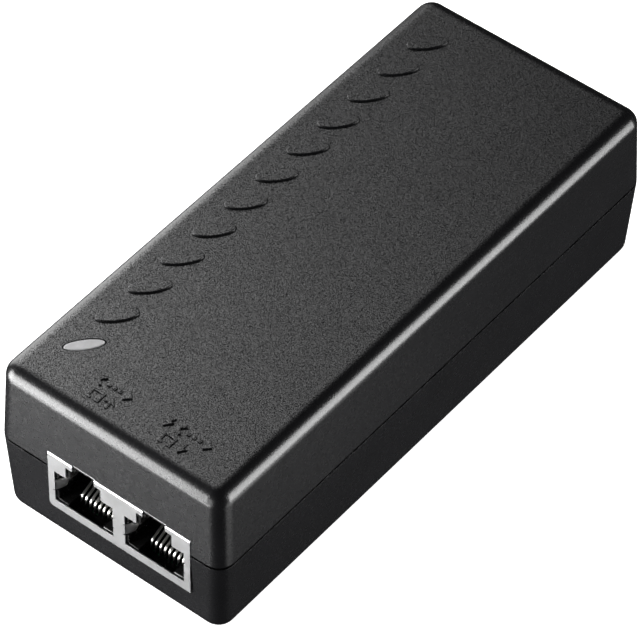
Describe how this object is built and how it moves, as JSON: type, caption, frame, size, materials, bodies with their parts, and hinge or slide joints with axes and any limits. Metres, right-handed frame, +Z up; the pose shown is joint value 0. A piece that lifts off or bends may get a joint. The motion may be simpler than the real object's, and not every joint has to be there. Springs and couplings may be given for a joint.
{
  "type": "poe injector",
  "caption": "Slim black two-shell power-over-Ethernet injector with a shielded twin network jack at one end, a mains inlet at the other and a row of raised ovals on top.",
  "frame": {"origin": "middle of the underside's box", "axes": "+Z up; +Y from the twin network jack towards the mains inlet; +X to the right as seen from the jack end"},
  "size_m": [0.0508, 0.1216, 0.0361],
  "materials": {
    "case_plastic": "fine moulded grain",
    "lens_plastic": "milky translucent",
    "lamp_epoxy": "tinted epoxy",
    "shield_metal": "satin tinned sheet",
    "jack_plastic": "smooth black moulding",
    "contact_metal": "gold-plated spring wire",
    "inlet_plastic": "smooth black moulding",
    "pin_metal": "nickel-plated",
    "board_laminate": "green solder mask",
    "insulating_film": "plain fibre sheet",
    "can_sleeve": "sleeved can",
    "black_moulding": "moulded epoxy",
    "sink_aluminium": "plain sheet",
    "ceramic_coat": "dipped coating",
    "film_case": "yellow box",
    "fuse_case": "moulded cap",
    "ferrite": "sintered, dull",
    "winding_tape": "taped winding",
    "copper_wire": "enamelled wire"
  },
  "bodies": {
    "root": {"upper_case": "case_plastic", "lower_case": "case_plastic", "led_light_pipe": "lens_plastic", "status_led": "lamp_epoxy", "jack_shield": "shield_metal", "jack_housing": "jack_plastic", "inlet_body": "inlet_plastic", "line_pin": "pin_metal", "neutral_pin": "pin_metal", "earth_pin": "pin_metal", "main_board": "board_laminate", "insulating_sheet": "insulating_film", "output_capacitor_1": "can_sleeve", "output_capacitor_2": "can_sleeve", "bulk_capacitor": "can_sleeve", "data_transformer": "black_moulding", "output_rectifier": "black_moulding", "optocoupler": "black_moulding", "switching_transistor": "black_moulding", "bridge_rectifier": "black_moulding", "output_heat_sink": "sink_aluminium", "primary_heat_sink": "sink_aluminium", "y_capacitor": "ceramic_coat", "x_capacitor": "film_case", "fuse": "fuse_case", "transformer_core": "ferrite", "choke_core": "ferrite", "transformer_bobbin": "winding_tape", "choke_winding": "copper_wire"},
    "contacts_in": {"contact_in_1": "contact_metal", "contact_in_2": "contact_metal", "contact_in_3": "contact_metal", "contact_in_4": "contact_metal", "contact_in_5": "contact_metal", "contact_in_6": "contact_metal", "contact_in_7": "contact_metal", "contact_in_8": "contact_metal"},
    "contacts_out": {"contact_out_1": "contact_metal", "contact_out_2": "contact_metal", "contact_out_3": "contact_metal", "contact_out_4": "contact_metal", "contact_out_5": "contact_metal", "contact_out_6": "contact_metal", "contact_out_7": "contact_metal", "contact_out_8": "contact_metal"}
  },
  "joints": [
    {"name": "contacts_in_flex", "type": "hinge", "parent": "root", "child": "contacts_in", "pos_m": [-0.00549, -0.0574, 0.008], "axis": [-1, 0, 0], "range_deg": [0, 10], "stiffness_Nm_per_rad": 0.4},
    {"name": "contacts_out_flex", "type": "hinge", "parent": "root", "child": "contacts_out", "pos_m": [0.01039, -0.0574, 0.008], "axis": [-1, 0, 0], "range_deg": [0, 10], "stiffness_Nm_per_rad": 0.4}
  ]
}
